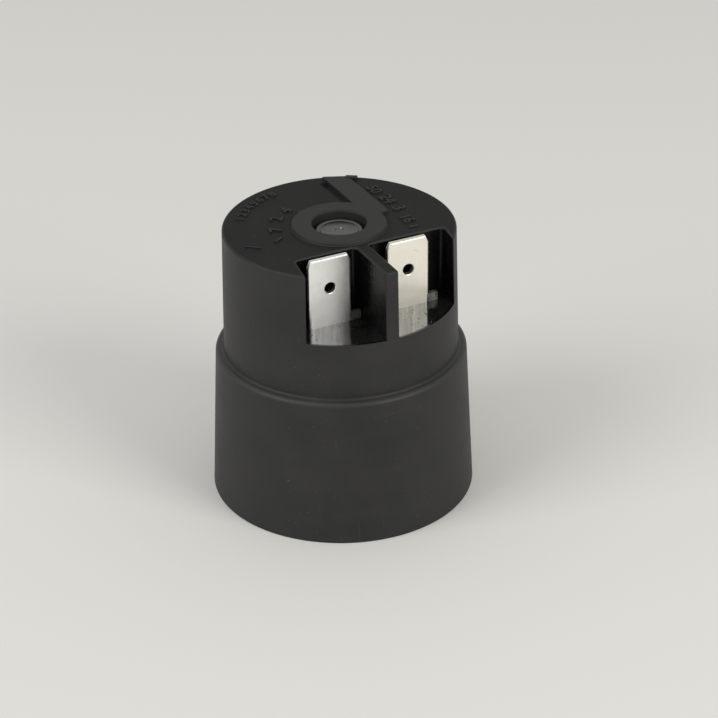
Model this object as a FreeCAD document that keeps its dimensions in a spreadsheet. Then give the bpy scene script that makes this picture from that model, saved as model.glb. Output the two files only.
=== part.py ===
import FreeCAD, Part
import math
import os
import Sketcher

# Solenoid-operated cartridge valve: a moulded coil head with two blade terminals, and the poppet
# cartridge that it drives. Millimetres, +Z up, origin at the middle of the flat base.
# The terminal pockets face -Y.

doc = FreeCAD.newDocument("CartridgeValve")
Vector = FreeCAD.Vector

SIZES = {
    # outside of the coil head
    "baseRadius": 18.9,
    "skirtTopRadius": 17.82,
    "ledgeHeight": 21.8,
    "neckRadius": 16.66,
    "topRadius": 16.25,
    "topHeight": 40.1,
    "rimRound": 0.4,
    "ledgeRound": 0.45,
    "baseRound": 0.15,
    # boss round the core hole, and the two raised pads on the top face
    "bossRadius": 6.5,
    "bossHeight": 0.5,
    "bossRound": 0.15,
    "holeRadius": 3.8,
    "holeStep": 38.3,
    "boreRadius": 3.62,
    "padHeight": 0.35,
    "padInner": 4.6,
    "padOuter": 8.0,
    "padLength": 13.4,
    "studInner": 8.7,
    "studOuter": 9.8,
    "studNear": 11.3,
    "studFar": 12.0,
    # terminal pockets, one each side of the web
    "pocketBack": 7.0,
    "leftSide": 10.0,
    "leftLean": 0.18,
    "rightSide": 12.6,
    "rightLean": -0.1,
    "pocketDepth": 10.0,
    "pocketCorner": 0.7,
    "webWidth": 1.9,
    "pottingDepth": 1.0,
    "pottingRadius": 16.15,
    # blade terminals, 6.3 x 0.8
    "bladeWidth": 6.3,
    "bladeThickness": 0.8,
    "bladeCentre": 5.95,
    "bladeShift": 0.2,
    "bladeFront": 8.9,
    "bladeTip": 40.3,
    "bladeHoleRadius": 0.8,
    "bladeHoleDrop": 4.5,
    "tipCutWide": 0.45,
    "tipCutHigh": 0.9,
    "shoulderWide": 1.5,
    "shoulderTop": 31.3,
    "shoulderFoot": 29.3,
    "rootWidth": 4.8,
    "rootFoot": 24.8,
    "bladeBevel": 0.18,
    "slotGap": 0.05,
    # magnet circuit and winding
    "cavityRadius": 15.0,
    "cavityTop": 27.0,
    "canWall": 1.4,
    "poleThickness": 1.5,
    "lowerPoleThickness": 2.0,
    "notchSide": 1.2,
    "notchBack": 0.8,
    "flangeThickness": 1.1,
    "flangeRadius": 13.3,
    "bobbinWall": 0.85,
    "windingRadius": 11.4,
    "tapeThickness": 0.2,
    "tapeTop": 22.4,
    "tapeMargin": 0.4,
    "towerHeight": 0.7,
    "towerSide": 0.9,
    "towerFront": 0.8,
    "towerBack": 0.6,
    "leadRadius": 0.25,
    "leadRoute": 12.2,
    "leadStart": 23.3,
    "leadBend": 0.6,
    "leadForward": 1.5,
    # armature tube, fixed core and plunger
    "tubeRadius": 6.0,
    "tubeWall": 0.5,
    "fitGap": 0.05,
    "edgeBreak": 0.3,
    "coreFoot": 19.0,
    "stemRadius": 3.55,
    "stemTop": 39.6,
    "stemGroove": 34.0,
    "stemRing": 0.45,
    "shimThickness": 0.15,
    "shimRadius": 4.8,
    "plungerRadius": 5.4,
    "plungerFoot": 9.4,
    "plungerTravel": 1.2,
    "springPocketRadius": 2.45,
    "springPocketFoot": 12.5,
    "springRadius": 2.0,
    "springWire": 0.22,
    "springTurns": 6,
    "springGap": 0.02,
    "fluteWidth": 1.3,
    "fluteDepth": 0.6,
    "fluteCount": 4,
    "sealRadius": 2.6,
    "sealRecess": 0.8,
    # valve seat and base
    "basePlateThickness": 5.5,
    "seatRadius": 8.0,
    "spigotTop": 8.0,
    "nozzleRadius": 1.9,
    "nozzleTop": 8.8,
    "nozzleTaper": 0.4,
    "inletRadius": 1.3,
    "portRadius": 2.0,
    "portDepth": 1.2,
    "screenRadius": 1.7,
    "screenThickness": 0.3,
    "screenHoles": 6,
    "outletRadius": 0.7,
    "outletCircle": 4.5,
    "outletCount": 4,
    "innerRingCircle": 2.95,
    "innerRingSection": 0.4,
    "outerRingCircle": 6.6,
    "outerRingSection": 0.55,
    "sideRingHeight": 3.1,
    "sideRingSection": 0.45,
}

sheet = doc.addObject("Spreadsheet::Sheet", "Sizes")
for row, (alias, size) in enumerate(SIZES.items(), start=1):
    sheet.set("A%d" % row, alias)
    sheet.set("B%d" % row, str(size))
    sheet.setAlias("B%d" % row, alias)
doc.recompute()

subParts = []


def cell(words):
    """Turn plain names of cells inside a formula into references to the sheet."""
    for alias in sorted(SIZES, key=len, reverse=True):
        words = words.replace(alias, "@%d@" % list(SIZES).index(alias))
    for number, alias in enumerate(SIZES):
        words = words.replace("@%d@" % number, "Sizes." + alias)
    return words


def value(words):
    return float(sheet.evalExpression(cell(words)))


def bind(item, prop, words):
    item.setExpression(prop, cell(words))


def newBody(label):
    body = doc.addObject("PartDesign::Body", label)
    body.Label = label
    subParts.append(body)
    return body


def newSketch(body, name, plane, offset="0"):
    sketch = body.newObject("Sketcher::SketchObject", name)
    origin = [item for item in body.Origin.OriginFeatures if item.Role == plane][0]
    sketch.AttachmentSupport = (origin, [""])
    sketch.MapMode = "FlatFace"
    bind(sketch, "AttachmentOffset.Base.z", offset)
    return sketch


def hold(sketch, kind, geometry, point, words):
    """Hold one point of a sketch at a distance from its origin that a formula gives."""
    number = sketch.addConstraint(
        Sketcher.Constraint(kind, -1, 1, geometry, point, value(words)))
    bind(sketch, "Constraints[%d]" % number, words)


def pin(sketch, geometry, point, across, up):
    hold(sketch, "DistanceX", geometry, point, across)
    hold(sketch, "DistanceY", geometry, point, up)


def addOutline(sketch, corners):
    """Add a closed outline of straight lines whose corners are pairs of formulas."""
    first = sketch.GeometryCount
    places = [Vector(value(across), value(up), 0) for across, up in corners]
    count = len(corners)
    for index in range(count):
        line = Part.LineSegment(places[index], places[(index + 1) % count])
        sketch.addGeometry(line, False)
    for index in range(count):
        before = first + (index - 1) % count
        sketch.addConstraint(Sketcher.Constraint("Coincident", before, 2, first + index, 1))
    for index, (across, up) in enumerate(corners):
        pin(sketch, first + index, 1, across, up)


def addCircle(sketch, across, up, radius):
    centre = Vector(value(across), value(up), 0)
    circle = sketch.addGeometry(Part.Circle(centre, Vector(0, 0, 1), value(radius)), False)
    pin(sketch, circle, 3, across, up)
    number = sketch.addConstraint(Sketcher.Constraint("Radius", circle, value(radius)))
    bind(sketch, "Constraints[%d]" % number, radius)


def revolve(body, name, corners):
    """Turn an outline of (radius, height) corners about the Z axis."""
    sketch = newSketch(body, name + "Outline", "XZ_Plane")
    addOutline(sketch, corners)
    feature = body.newObject("PartDesign::Revolution", name)
    feature.Profile = sketch
    feature.ReferenceAxis = (sketch, ["V_Axis"])
    feature.Angle = 360
    return feature


def pad(body, name, sketch, length):
    feature = body.newObject("PartDesign::Pad", name)
    feature.Profile = sketch
    bind(feature, "Length", length)
    return feature


def pocket(body, name, sketch, length):
    """Cut downwards from the sketch; the cut has to take material away."""
    doc.recompute()
    before = body.Shape.Volume
    feature = body.newObject("PartDesign::Pocket", name)
    feature.Profile = sketch
    bind(feature, "Length", length)
    doc.recompute()
    if body.Shape.Volume > before - 1e-3:
        raise RuntimeError(name + " cuts nothing")
    return feature


def dress(body, name, kind, size, test):
    """Round or bevel the edges of the body's last feature for which test(edge) is true."""
    doc.recompute()
    base = body.Tip
    picked = ["Edge%d" % (index + 1) for index, edge in enumerate(base.Shape.Edges) if test(edge)]
    if not picked:
        raise RuntimeError(name + " found no edges")
    feature = body.newObject("PartDesign::" + kind, name)
    feature.Base = (base, picked)
    bind(feature, "Radius" if kind == "Fillet" else "Size", size)
    doc.recompute()
    return feature


def isRing(edge, radius, height):
    """Is this edge a whole circle about Z with the given radius and height?"""
    curve = edge.Curve
    if curve.TypeId != "Part::GeomCircle" or not edge.isClosed():
        return False
    return abs(curve.Radius - value(radius)) < 1e-4 and abs(curve.Center.z - value(height)) < 1e-4


def isUpright(edge, across, along):
    """Is this edge a vertical line through (across, along)?"""
    if edge.Curve.TypeId != "Part::GeomLine":
        return False
    start, end = edge.Vertexes[0].Point, edge.Vertexes[-1].Point
    if abs(start.x - end.x) > 1e-4 or abs(start.y - end.y) > 1e-4:
        return False
    return abs(start.x - across) < 1e-3 and abs(start.y - along) < 1e-3


def ringOf(label, circle, section, height):
    """A round-section ring about Z."""
    body = newBody(label)
    sketch = newSketch(body, "section", "XZ_Plane")
    addCircle(sketch, circle, height, section)
    feature = body.newObject("PartDesign::Revolution", "ring")
    feature.Profile = sketch
    feature.ReferenceAxis = (sketch, ["V_Axis"])
    feature.Angle = 360
    return body


def sideOf(side):
    """How far out a pocket's side wall stands at the pocket's back, and how it leans towards the mouth."""
    return ("rightSide", "rightLean") if side == "1" else ("leftSide", "leftLean")


def pocketCorners(side):
    """Corners of one terminal pocket seen from above, cut past the outside; side is 1 or -1."""
    reach, lean = sideOf(side)
    return [
        ("%s * webWidth / 2" % side, "-pocketBack"),
        ("%s * %s" % (side, reach), "-pocketBack"),
        ("%s * (%s + %s * (baseRadius - pocketBack))" % (side, reach, lean), "-baseRadius"),
        ("%s * webWidth / 2" % side, "-baseRadius"),
    ]


def recessCorners(side):
    """Corners of the recess for the cast resin, whose last side follows the lip of the housing."""
    reach, lean = sideOf(side)
    foot = "(%s - %s * pocketBack)" % (reach, lean)
    slope = "(1 + %s ^ 2)" % lean
    depth = "(sqrt(pottingRadius ^ 2 * %s - %s ^ 2) - %s * %s) / %s" % (slope, foot, foot, lean, slope)
    return [
        ("%s * webWidth / 2" % side, "-pocketBack"),
        ("%s * %s" % (side, reach), "-pocketBack"),
        ("%s * (%s + %s * %s)" % (side, foot, lean, depth), "-(%s)" % depth),
        ("%s * webWidth / 2" % side, "-sqrt(pottingRadius ^ 2 - webWidth ^ 2 / 4)"),
    ]


def addRecess(sketch, side):
    """Three straight sides and an arc about the axis of the valve."""
    corners = recessCorners(side)
    places = [Vector(value(across), value(up), 0) for across, up in corners]
    first = sketch.GeometryCount
    for start, end in ((3, 0), (0, 1), (1, 2)):
        sketch.addGeometry(Part.LineSegment(places[start], places[end]), False)
    radius = value("pottingRadius")
    angles = [math.atan2(places[index].y, places[index].x) for index in (2, 3)]
    swapped = angles[0] > angles[1]
    circle = Part.Circle(Vector(0, 0, 0), Vector(0, 0, 1), radius)
    arc = sketch.addGeometry(Part.ArcOfCircle(circle, min(angles), max(angles)), False)
    for before, after in ((0, 1), (1, 2)):
        sketch.addConstraint(
            Sketcher.Constraint("Coincident", first + before, 2, first + after, 1))
    sketch.addConstraint(
        Sketcher.Constraint("Coincident", first + 2, 2, arc, 2 if swapped else 1))
    sketch.addConstraint(
        Sketcher.Constraint("Coincident", first, 1, arc, 1 if swapped else 2))
    sketch.addConstraint(Sketcher.Constraint("Coincident", arc, 3, -1, 1))
    pin(sketch, first + 1, 1, *corners[0])
    pin(sketch, first + 2, 1, *corners[1])
    hold(sketch, "DistanceX", first, 1, corners[3][0])
    hold(sketch, "DistanceX", first + 2, 2, corners[2][0])
    number = sketch.addConstraint(Sketcher.Constraint("Radius", arc, radius))
    bind(sketch, "Constraints[%d]" % number, "pottingRadius")


def addBladeFrame(sketch, side, left, right, front, back):
    """Add a rectangle about a blade, given its reach from the blade's middle line and its faces."""
    middle = "(bladeShift + %s * bladeCentre)" % side
    near = "-bladeFront - (%s)" % front
    far = "bladeThickness - bladeFront + (%s)" % back
    addOutline(sketch, [
        ("%s - (%s)" % (middle, left), near),
        ("%s + (%s)" % (middle, right), near),
        ("%s + (%s)" % (middle, right), far),
        ("%s - (%s)" % (middle, left), far),
    ])


def addRootFrame(sketch, side, margin, front, back):
    """Add a rectangle about the root of a blade, wider than the root by a margin on both sides."""
    half = "rootWidth / 2 + " + margin
    addBladeFrame(sketch, side, half, half, front, back)


def makeHousing():
    body = newBody("coil_housing")
    revolve(body, "shell", [
        ("cavityRadius", "0"),
        ("baseRadius", "0"),
        ("skirtTopRadius", "ledgeHeight"),
        ("neckRadius", "ledgeHeight"),
        ("topRadius", "topHeight"),
        ("bossRadius", "topHeight"),
        ("bossRadius", "topHeight + bossHeight"),
        ("holeRadius", "topHeight + bossHeight"),
        ("holeRadius", "holeStep"),
        ("boreRadius", "holeStep"),
        ("boreRadius", "cavityTop"),
        ("cavityRadius", "cavityTop"),
    ])
    dress(body, "rimFillet", "Fillet", "rimRound", lambda edge: isRing(edge, "topRadius", "topHeight"))
    dress(body, "ledgeFillet", "Fillet", "ledgeRound",
          lambda edge: isRing(edge, "skirtTopRadius", "ledgeHeight"))
    dress(body, "baseFillet", "Fillet", "baseRound", lambda edge: isRing(edge, "baseRadius", "0"))
    dress(body, "bossFillet", "Fillet", "bossRound",
          lambda edge: isRing(edge, "bossRadius", "topHeight + bossHeight")
          or isRing(edge, "holeRadius", "topHeight + bossHeight"))

    sketch = newSketch(body, "padOutline", "XY_Plane", "topHeight")
    addOutline(sketch, [
        ("padInner", "bossRadius / 3"),
        ("padOuter", "bossRadius / 3"),
        ("padOuter", "padLength"),
        ("padInner", "padLength"),
    ])
    addOutline(sketch, [
        ("studInner", "studNear"),
        ("studOuter", "studNear"),
        ("studOuter", "studFar"),
        ("studInner", "studFar"),
    ])
    pad(body, "raisedPads", sketch, "padHeight")

    sides = (("1", "right"), ("-1", "left"))
    for side, word in sides:
        sketch = newSketch(body, word + "PocketOutline", "XY_Plane", "topHeight + 1")
        addOutline(sketch, pocketCorners(side))
        pocket(body, word + "Pocket", sketch, "pocketDepth + 1")
    widths = ("webWidth / 2", "-webWidth / 2", "rightSide", "-leftSide")
    corners = [(value(words), -value("pocketBack")) for words in widths]
    dress(body, "cornerFillet", "Fillet", "pocketCorner",
          lambda edge: any(isUpright(edge, *corner) for corner in corners))
    for side, word in sides:
        sketch = newSketch(body, word + "RecessOutline", "XY_Plane", "topHeight - pocketDepth")
        addRecess(sketch, side)
        pocket(body, word + "Recess", sketch, "pottingDepth")

    sketch = newSketch(body, "rootSlots", "XY_Plane", "topHeight - pocketDepth - pottingDepth")
    for side in ("1", "-1"):
        addRootFrame(sketch, side, "slotGap", "slotGap", "slotGap")
    pocket(body, "rootSlotCut", sketch, "topHeight - pocketDepth - pottingDepth - cavityTop")


def makePotting(label, side):
    """Cast resin that fills one pocket up to its floor, round the foot of the blade."""
    body = newBody(label)
    floor = "topHeight - pocketDepth"
    sketch = newSketch(body, "castOutline", "XY_Plane", floor + " - pottingDepth")
    addRecess(sketch, side)
    pad(body, "cast", sketch, "pottingDepth")
    sketch = newSketch(body, "bladeSlot", "XY_Plane", floor)
    addBladeFrame(sketch, side, "bladeWidth / 2 + slotGap", "bladeWidth / 2 + shoulderWide + slotGap",
                  "slotGap", "slotGap")
    pocket(body, "bladeSlotCut", sketch, "pottingDepth")


def makeTerminal(label, side):
    body = newBody(label)
    sketch = newSketch(body, "bladeOutline", "XZ_Plane", "bladeFront - bladeThickness")
    addOutline(sketch, [
        ("-rootWidth / 2", "rootFoot"),
        ("rootWidth / 2", "rootFoot"),
        ("rootWidth / 2", "shoulderFoot"),
        ("bladeWidth / 2 + shoulderWide", "shoulderFoot"),
        ("bladeWidth / 2 + shoulderWide", "shoulderTop"),
        ("bladeWidth / 2", "shoulderTop"),
        ("bladeWidth / 2", "bladeTip - tipCutHigh"),
        ("bladeWidth / 2 - tipCutWide", "bladeTip"),
        ("tipCutWide - bladeWidth / 2", "bladeTip"),
        ("-bladeWidth / 2", "bladeTip - tipCutHigh"),
        ("-bladeWidth / 2", "shoulderFoot"),
        ("-rootWidth / 2", "shoulderFoot"),
    ])
    addCircle(sketch, "0", "bladeTip - bladeHoleDrop", "bladeHoleRadius")
    pad(body, "blade", sketch, "bladeThickness")
    front = -value("bladeFront")
    back = -value("bladeFront - bladeThickness")

    def isLeadIn(edge):
        if edge.Curve.TypeId != "Part::GeomLine":
            return False
        ends = [vertex.Point for vertex in edge.Vertexes]
        flat = any(all(abs(end.y - face) < 1e-4 for end in ends) for face in (front, back))
        return flat and max(end.z for end in ends) > value("shoulderTop") + 1e-3

    dress(body, "leadIn", "Chamfer", "bladeBevel", isLeadIn)
    bind(body, "Placement.Base.x", "bladeShift + %s * bladeCentre" % side)


def makeTube():
    body = newBody("guide_tube")
    revolve(body, "tube", [
        ("tubeRadius - tubeWall", "basePlateThickness"),
        ("tubeRadius", "basePlateThickness"),
        ("tubeRadius", "cavityTop"),
        ("tubeRadius - tubeWall", "cavityTop"),
    ])


def makeCore():
    body = newBody("fixed_core")
    wide = "tubeRadius - tubeWall - fitGap"
    revolve(body, "core", [
        ("0", "coreFoot"),
        (wide, "coreFoot"),
        (wide, "cavityTop"),
        ("stemRadius", "cavityTop"),
        ("stemRadius", "stemGroove - stemRing"),
        ("boreRadius - 2 * stemRing", "stemGroove - stemRing"),
        ("boreRadius - 2 * stemRing", "stemGroove + stemRing"),
        ("stemRadius", "stemGroove + stemRing"),
        ("stemRadius", "stemTop - stemRing"),
        ("stemRadius - stemRing", "stemTop"),
        ("stemRadius / 4", "stemTop"),
        ("0", "stemTop - stemRadius / 4"),
    ])


def makeShim():
    body = newBody("residual_shim")
    revolve(body, "disc", [
        ("0", "coreFoot - shimThickness"),
        ("shimRadius", "coreFoot - shimThickness"),
        ("shimRadius", "coreFoot"),
        ("0", "coreFoot"),
    ])


def plungerTop():
    return "(coreFoot - shimThickness - fitGap - plungerTravel)"


def makePlunger():
    body = newBody("plunger")
    revolve(body, "slug", [
        ("0", "plungerFoot + sealRecess"),
        ("sealRadius", "plungerFoot + sealRecess"),
        ("sealRadius", "plungerFoot"),
        ("plungerRadius - edgeBreak", "plungerFoot"),
        ("plungerRadius", "plungerFoot + edgeBreak"),
        ("plungerRadius", plungerTop() + " - edgeBreak"),
        ("plungerRadius - edgeBreak", plungerTop()),
        ("springPocketRadius", plungerTop()),
        ("springPocketRadius", "springPocketFoot"),
        ("0", "springPocketFoot"),
    ])
    sketch = newSketch(body, "fluteOutline", "XY_Plane", plungerTop())
    addOutline(sketch, [
        ("plungerRadius - fluteDepth", "-fluteWidth / 2"),
        ("plungerRadius + 1", "-fluteWidth / 2"),
        ("plungerRadius + 1", "fluteWidth / 2"),
        ("plungerRadius - fluteDepth", "fluteWidth / 2"),
    ])
    flute = pocket(body, "flute", sketch, plungerTop() + " - plungerFoot")
    pattern = body.newObject("PartDesign::PolarPattern", "flutes")
    pattern.Originals = [flute]
    pattern.Axis = (sketch, ["N_Axis"])
    pattern.Angle = 360
    bind(pattern, "Occurrences", "fluteCount")
    body.Tip = pattern


def makeSeal():
    body = newBody("poppet_seal")
    revolve(body, "disc", [
        ("0", "nozzleTop + fitGap"),
        ("sealRadius - edgeBreak", "nozzleTop + fitGap"),
        ("sealRadius", "nozzleTop + fitGap + edgeBreak"),
        ("sealRadius", "plungerFoot + sealRecess"),
        ("0", "plungerFoot + sealRecess"),
    ])


def makeSpring():
    body = newBody("return_spring")
    foot = "springPocketFoot + springWire + springGap"
    head = "(coreFoot - shimThickness - springWire - springGap)"
    sketch = newSketch(body, "wireSection", "XZ_Plane")
    addCircle(sketch, "springRadius", foot, "springWire")
    helix = body.newObject("PartDesign::AdditiveHelix", "coils")
    helix.Profile = sketch
    helix.ReferenceAxis = (sketch, ["V_Axis"])
    helix.Mode = 2
    bind(helix, "Height", "%s - (%s)" % (head, foot))
    bind(helix, "Turns", "springTurns")


def makeSeat():
    body = newBody("valve_seat")
    spigot = "tubeRadius - tubeWall - fitGap"
    revolve(body, "insert", [
        ("portRadius", "0"),
        ("innerRingCircle - innerRingSection", "0"),
        ("innerRingCircle - innerRingSection", "2 * innerRingSection"),
        ("innerRingCircle + innerRingSection", "2 * innerRingSection"),
        ("innerRingCircle + innerRingSection", "0"),
        ("outerRingCircle - outerRingSection", "0"),
        ("outerRingCircle - outerRingSection", "2 * outerRingSection"),
        ("outerRingCircle + outerRingSection", "2 * outerRingSection"),
        ("outerRingCircle + outerRingSection", "0"),
        ("seatRadius", "0"),
        ("seatRadius", "sideRingHeight - sideRingSection"),
        ("seatRadius - 2 * sideRingSection + fitGap", "sideRingHeight - sideRingSection"),
        ("seatRadius - 2 * sideRingSection + fitGap", "sideRingHeight + sideRingSection"),
        ("seatRadius", "sideRingHeight + sideRingSection"),
        ("seatRadius", "basePlateThickness"),
        (spigot, "basePlateThickness"),
        (spigot, "spigotTop"),
        ("nozzleRadius + nozzleTaper", "spigotTop"),
        ("nozzleRadius", "nozzleTop"),
        ("inletRadius", "nozzleTop"),
        ("inletRadius", "portDepth + screenThickness"),
        ("screenRadius", "portDepth + screenThickness"),
        ("screenRadius", "portDepth"),
        ("portRadius", "portDepth"),
    ])
    sketch = newSketch(body, "outletOutline", "XY_Plane", "spigotTop")
    addCircle(sketch, "outletCircle", "0", "outletRadius")
    outlet = pocket(body, "outlet", sketch, "spigotTop")
    pattern = body.newObject("PartDesign::PolarPattern", "outlets")
    pattern.Originals = [outlet]
    pattern.Axis = (sketch, ["N_Axis"])
    pattern.Angle = 360
    bind(pattern, "Occurrences", "outletCount")
    body.Tip = pattern


def makeScreen():
    """Inlet strainer: a disc pressed in above the port's mouth, drilled with small holes."""
    body = newBody("inlet_screen")
    revolve(body, "disc", [
        ("0", "portDepth"),
        ("screenRadius", "portDepth"),
        ("screenRadius", "portDepth + screenThickness"),
        ("0", "portDepth + screenThickness"),
    ])
    sketch = newSketch(body, "holes", "XY_Plane", "portDepth + screenThickness")
    addCircle(sketch, "0", "0", "screenRadius / 8")
    count = int(value("screenHoles"))
    for index in range(count):
        angle = 2 * math.pi * index / count
        addCircle(sketch, "screenRadius / 2 * %.6f" % math.cos(angle),
                  "screenRadius / 2 * %.6f" % math.sin(angle), "screenRadius / 8")
    pocket(body, "holeCut", sketch, "screenThickness")


def makeBasePlate():
    body = newBody("base_plate")
    revolve(body, "plate", [
        ("seatRadius + fitGap", "edgeBreak"),
        ("seatRadius + fitGap + edgeBreak", "0"),
        ("cavityRadius - fitGap - edgeBreak", "0"),
        ("cavityRadius - fitGap", "edgeBreak"),
        ("cavityRadius - fitGap", "basePlateThickness"),
        ("seatRadius + fitGap", "basePlateThickness"),
    ])


def makeCan():
    body = newBody("flux_can")
    revolve(body, "can", [
        ("cavityRadius - canWall", "basePlateThickness"),
        ("cavityRadius", "basePlateThickness"),
        ("cavityRadius", "cavityTop"),
        ("cavityRadius - canWall", "cavityTop"),
    ])


def makePole(label, foot, head):
    body = newBody(label)
    revolve(body, "washer", [
        ("tubeRadius + fitGap", foot),
        ("cavityRadius - canWall", foot),
        ("cavityRadius - canWall", head),
        ("tubeRadius + fitGap", head),
    ])
    return body


def makePoles():
    makePole("lower_pole", "basePlateThickness", "basePlateThickness + lowerPoleThickness")
    body = makePole("upper_pole", "cavityTop - poleThickness", "cavityTop")
    sketch = newSketch(body, "notchOutline", "XY_Plane", "cavityTop")
    for side in ("1", "-1"):
        addRootFrame(sketch, side, "notchSide", "cavityRadius - bladeFront", "notchBack")
    pocket(body, "notches", sketch, "poleThickness")


def leadAngle(side):
    """Direction, in degrees, in which a lead leaves the winding on its way to its terminal."""
    across = value("bladeShift") + side * value("bladeCentre")
    return math.degrees(math.atan2(-value("bladeFront + leadForward"), across))


def makeBobbin():
    body = newBody("bobbin")
    foot = "basePlateThickness + lowerPoleThickness"
    head = "(cavityTop - poleThickness)"
    barrel = "tubeRadius + fitGap + bobbinWall"
    revolve(body, "spool", [
        ("tubeRadius + fitGap", foot),
        ("flangeRadius", foot),
        ("flangeRadius", foot + " + flangeThickness"),
        (barrel, foot + " + flangeThickness"),
        (barrel, head + " - flangeThickness"),
        ("flangeRadius", head + " - flangeThickness"),
        ("flangeRadius", head),
        ("tubeRadius + fitGap", head),
    ])
    sketch = newSketch(body, "towerOutline", "XY_Plane", head)
    for side in ("1", "-1"):
        addRootFrame(sketch, side, "towerSide", "towerFront", "towerBack")
    pad(body, "towers", sketch, "towerHeight")
    sketch = newSketch(body, "rootOutline", "XY_Plane", head + " + towerHeight")
    for side in ("1", "-1"):
        addRootFrame(sketch, side, "0", "0", "0")
    pocket(body, "rootSlots", sketch, head + " + towerHeight - rootFoot")
    sketch = newSketch(body, "leadHoles", "XY_Plane", head)
    for side in (1, -1):
        angle = math.radians(leadAngle(side))
        addCircle(sketch, "leadRoute * %.6f" % math.cos(angle),
                  "leadRoute * %.6f" % math.sin(angle), "leadRadius + 2 * fitGap")
    pocket(body, "leadHoleCut", sketch, "flangeThickness")


def makeWinding():
    body = newBody("winding")
    barrel = "tubeRadius + fitGap + bobbinWall"
    revolve(body, "copper", [
        (barrel, "basePlateThickness + lowerPoleThickness + flangeThickness"),
        ("windingRadius", "basePlateThickness + lowerPoleThickness + flangeThickness"),
        ("windingRadius", "cavityTop - poleThickness - flangeThickness"),
        (barrel, "cavityTop - poleThickness - flangeThickness"),
    ])
    body = newBody("winding_tape")
    foot = "basePlateThickness + lowerPoleThickness + flangeThickness + tapeMargin"
    revolve(body, "wrap", [
        ("windingRadius", foot),
        ("windingRadius + tapeThickness", foot),
        ("windingRadius + tapeThickness", "tapeTop"),
        ("windingRadius", "tapeTop"),
    ])


def makeLead(label, side):
    """Wire from the top of the winding, up through the flange and in to the terminal's root."""
    body = newBody(label)
    bend = value("leadBend")
    start = value("windingRadius")
    route = value("leadRoute")
    low = value("leadStart")
    high = value("cavityTop - leadRadius * 2")
    angle = leadAngle(side)
    end = value("bladeFront") / -math.sin(math.radians(angle))
    path = newSketch(body, "route", "XZ_Plane")
    slant = bend * (1 - math.sqrt(0.5))
    path.addGeometry([
        Part.LineSegment(Vector(start, low, 0), Vector(route - bend, low, 0)),
        Part.Arc(Vector(route - bend, low, 0), Vector(route - slant, low + slant, 0),
                 Vector(route, low + bend, 0)),
        Part.LineSegment(Vector(route, low + bend, 0), Vector(route, high - bend, 0)),
        Part.Arc(Vector(route, high - bend, 0), Vector(route - slant, high - slant, 0),
                 Vector(route - bend, high, 0)),
        Part.LineSegment(Vector(route - bend, high, 0), Vector(end, high, 0)),
    ], False)
    section = newSketch(body, "section", "YZ_Plane", "windingRadius")
    addCircle(section, "0", "leadStart", "leadRadius")
    pipe = body.newObject("PartDesign::AdditivePipe", "wire")
    pipe.Profile = section
    pipe.Spine = path
    body.Placement = FreeCAD.Placement(Vector(0, 0, 0), FreeCAD.Rotation(Vector(0, 0, 1), angle))


def makeAll():
    makeHousing()
    for word, side in (("left", "-1"), ("right", "1")):
        makePotting("potting_" + word, side)
        makeTerminal("terminal_" + word, side)
        makeLead("lead_" + word, int(side))
    makeTube()
    makeCore()
    makeShim()
    makePlunger()
    makeSeal()
    makeSpring()
    makeSeat()
    makeScreen()
    makeBasePlate()
    makeCan()
    makePoles()
    makeBobbin()
    makeWinding()
    ringOf("inlet_ring", "innerRingCircle", "innerRingSection", "innerRingSection")
    ringOf("outlet_ring", "outerRingCircle", "outerRingSection", "outerRingSection")
    ringOf("seat_ring", "seatRadius + fitGap - sideRingSection", "sideRingSection", "sideRingHeight")
    ringOf("core_ring", "boreRadius - stemRing", "stemRing", "stemGroove")


makeAll()
doc.recompute()

for item in doc.Objects:
    if "Invalid" in item.State or "Error" in item.State:
        raise RuntimeError(item.Label + " is " + str(item.State))
for body in subParts:
    if body.Shape.isNull() or not body.Shape.isValid() or len(body.Shape.Solids) != 1:
        raise RuntimeError(body.Label + " is not one valid solid")

os.makedirs("parts", exist_ok=True)
for body in subParts:
    body.Shape.exportStep("parts/%s.step" % body.Label)
    box = body.Shape.BoundBox
    print("%-14s %9.2f mm3  z %6.2f to %6.2f" % (body.Label, body.Shape.Volume, box.ZMin, box.ZMax))
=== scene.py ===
import bpy
import math
from mathutils import Matrix, Vector


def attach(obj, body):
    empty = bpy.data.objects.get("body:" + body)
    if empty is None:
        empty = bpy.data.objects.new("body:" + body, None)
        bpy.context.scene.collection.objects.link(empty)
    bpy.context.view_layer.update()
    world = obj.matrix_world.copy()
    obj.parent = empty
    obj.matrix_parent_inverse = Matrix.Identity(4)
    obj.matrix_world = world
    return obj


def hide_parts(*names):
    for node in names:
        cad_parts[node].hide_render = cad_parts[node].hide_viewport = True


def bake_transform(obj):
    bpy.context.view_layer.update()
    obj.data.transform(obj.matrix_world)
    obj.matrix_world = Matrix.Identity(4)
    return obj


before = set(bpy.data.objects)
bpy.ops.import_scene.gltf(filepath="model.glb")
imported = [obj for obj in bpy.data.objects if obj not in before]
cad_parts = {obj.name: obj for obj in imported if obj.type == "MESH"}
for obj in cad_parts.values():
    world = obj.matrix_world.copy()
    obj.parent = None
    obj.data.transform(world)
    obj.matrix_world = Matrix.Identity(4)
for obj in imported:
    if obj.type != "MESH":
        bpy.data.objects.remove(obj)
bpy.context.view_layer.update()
mm = 0.001
# places closer together than this count as one
touch = 0.02 * mm
print("frame loaded")


def focus(piece):
    for other in bpy.context.selected_objects:
        other.select_set(False)
    piece.select_set(True)
    bpy.context.view_layer.objects.active = piece


def edit(piece):
    focus(piece)
    bpy.ops.object.mode_set(mode="EDIT")


def leave():
    bpy.ops.object.mode_set(mode="OBJECT")


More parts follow.
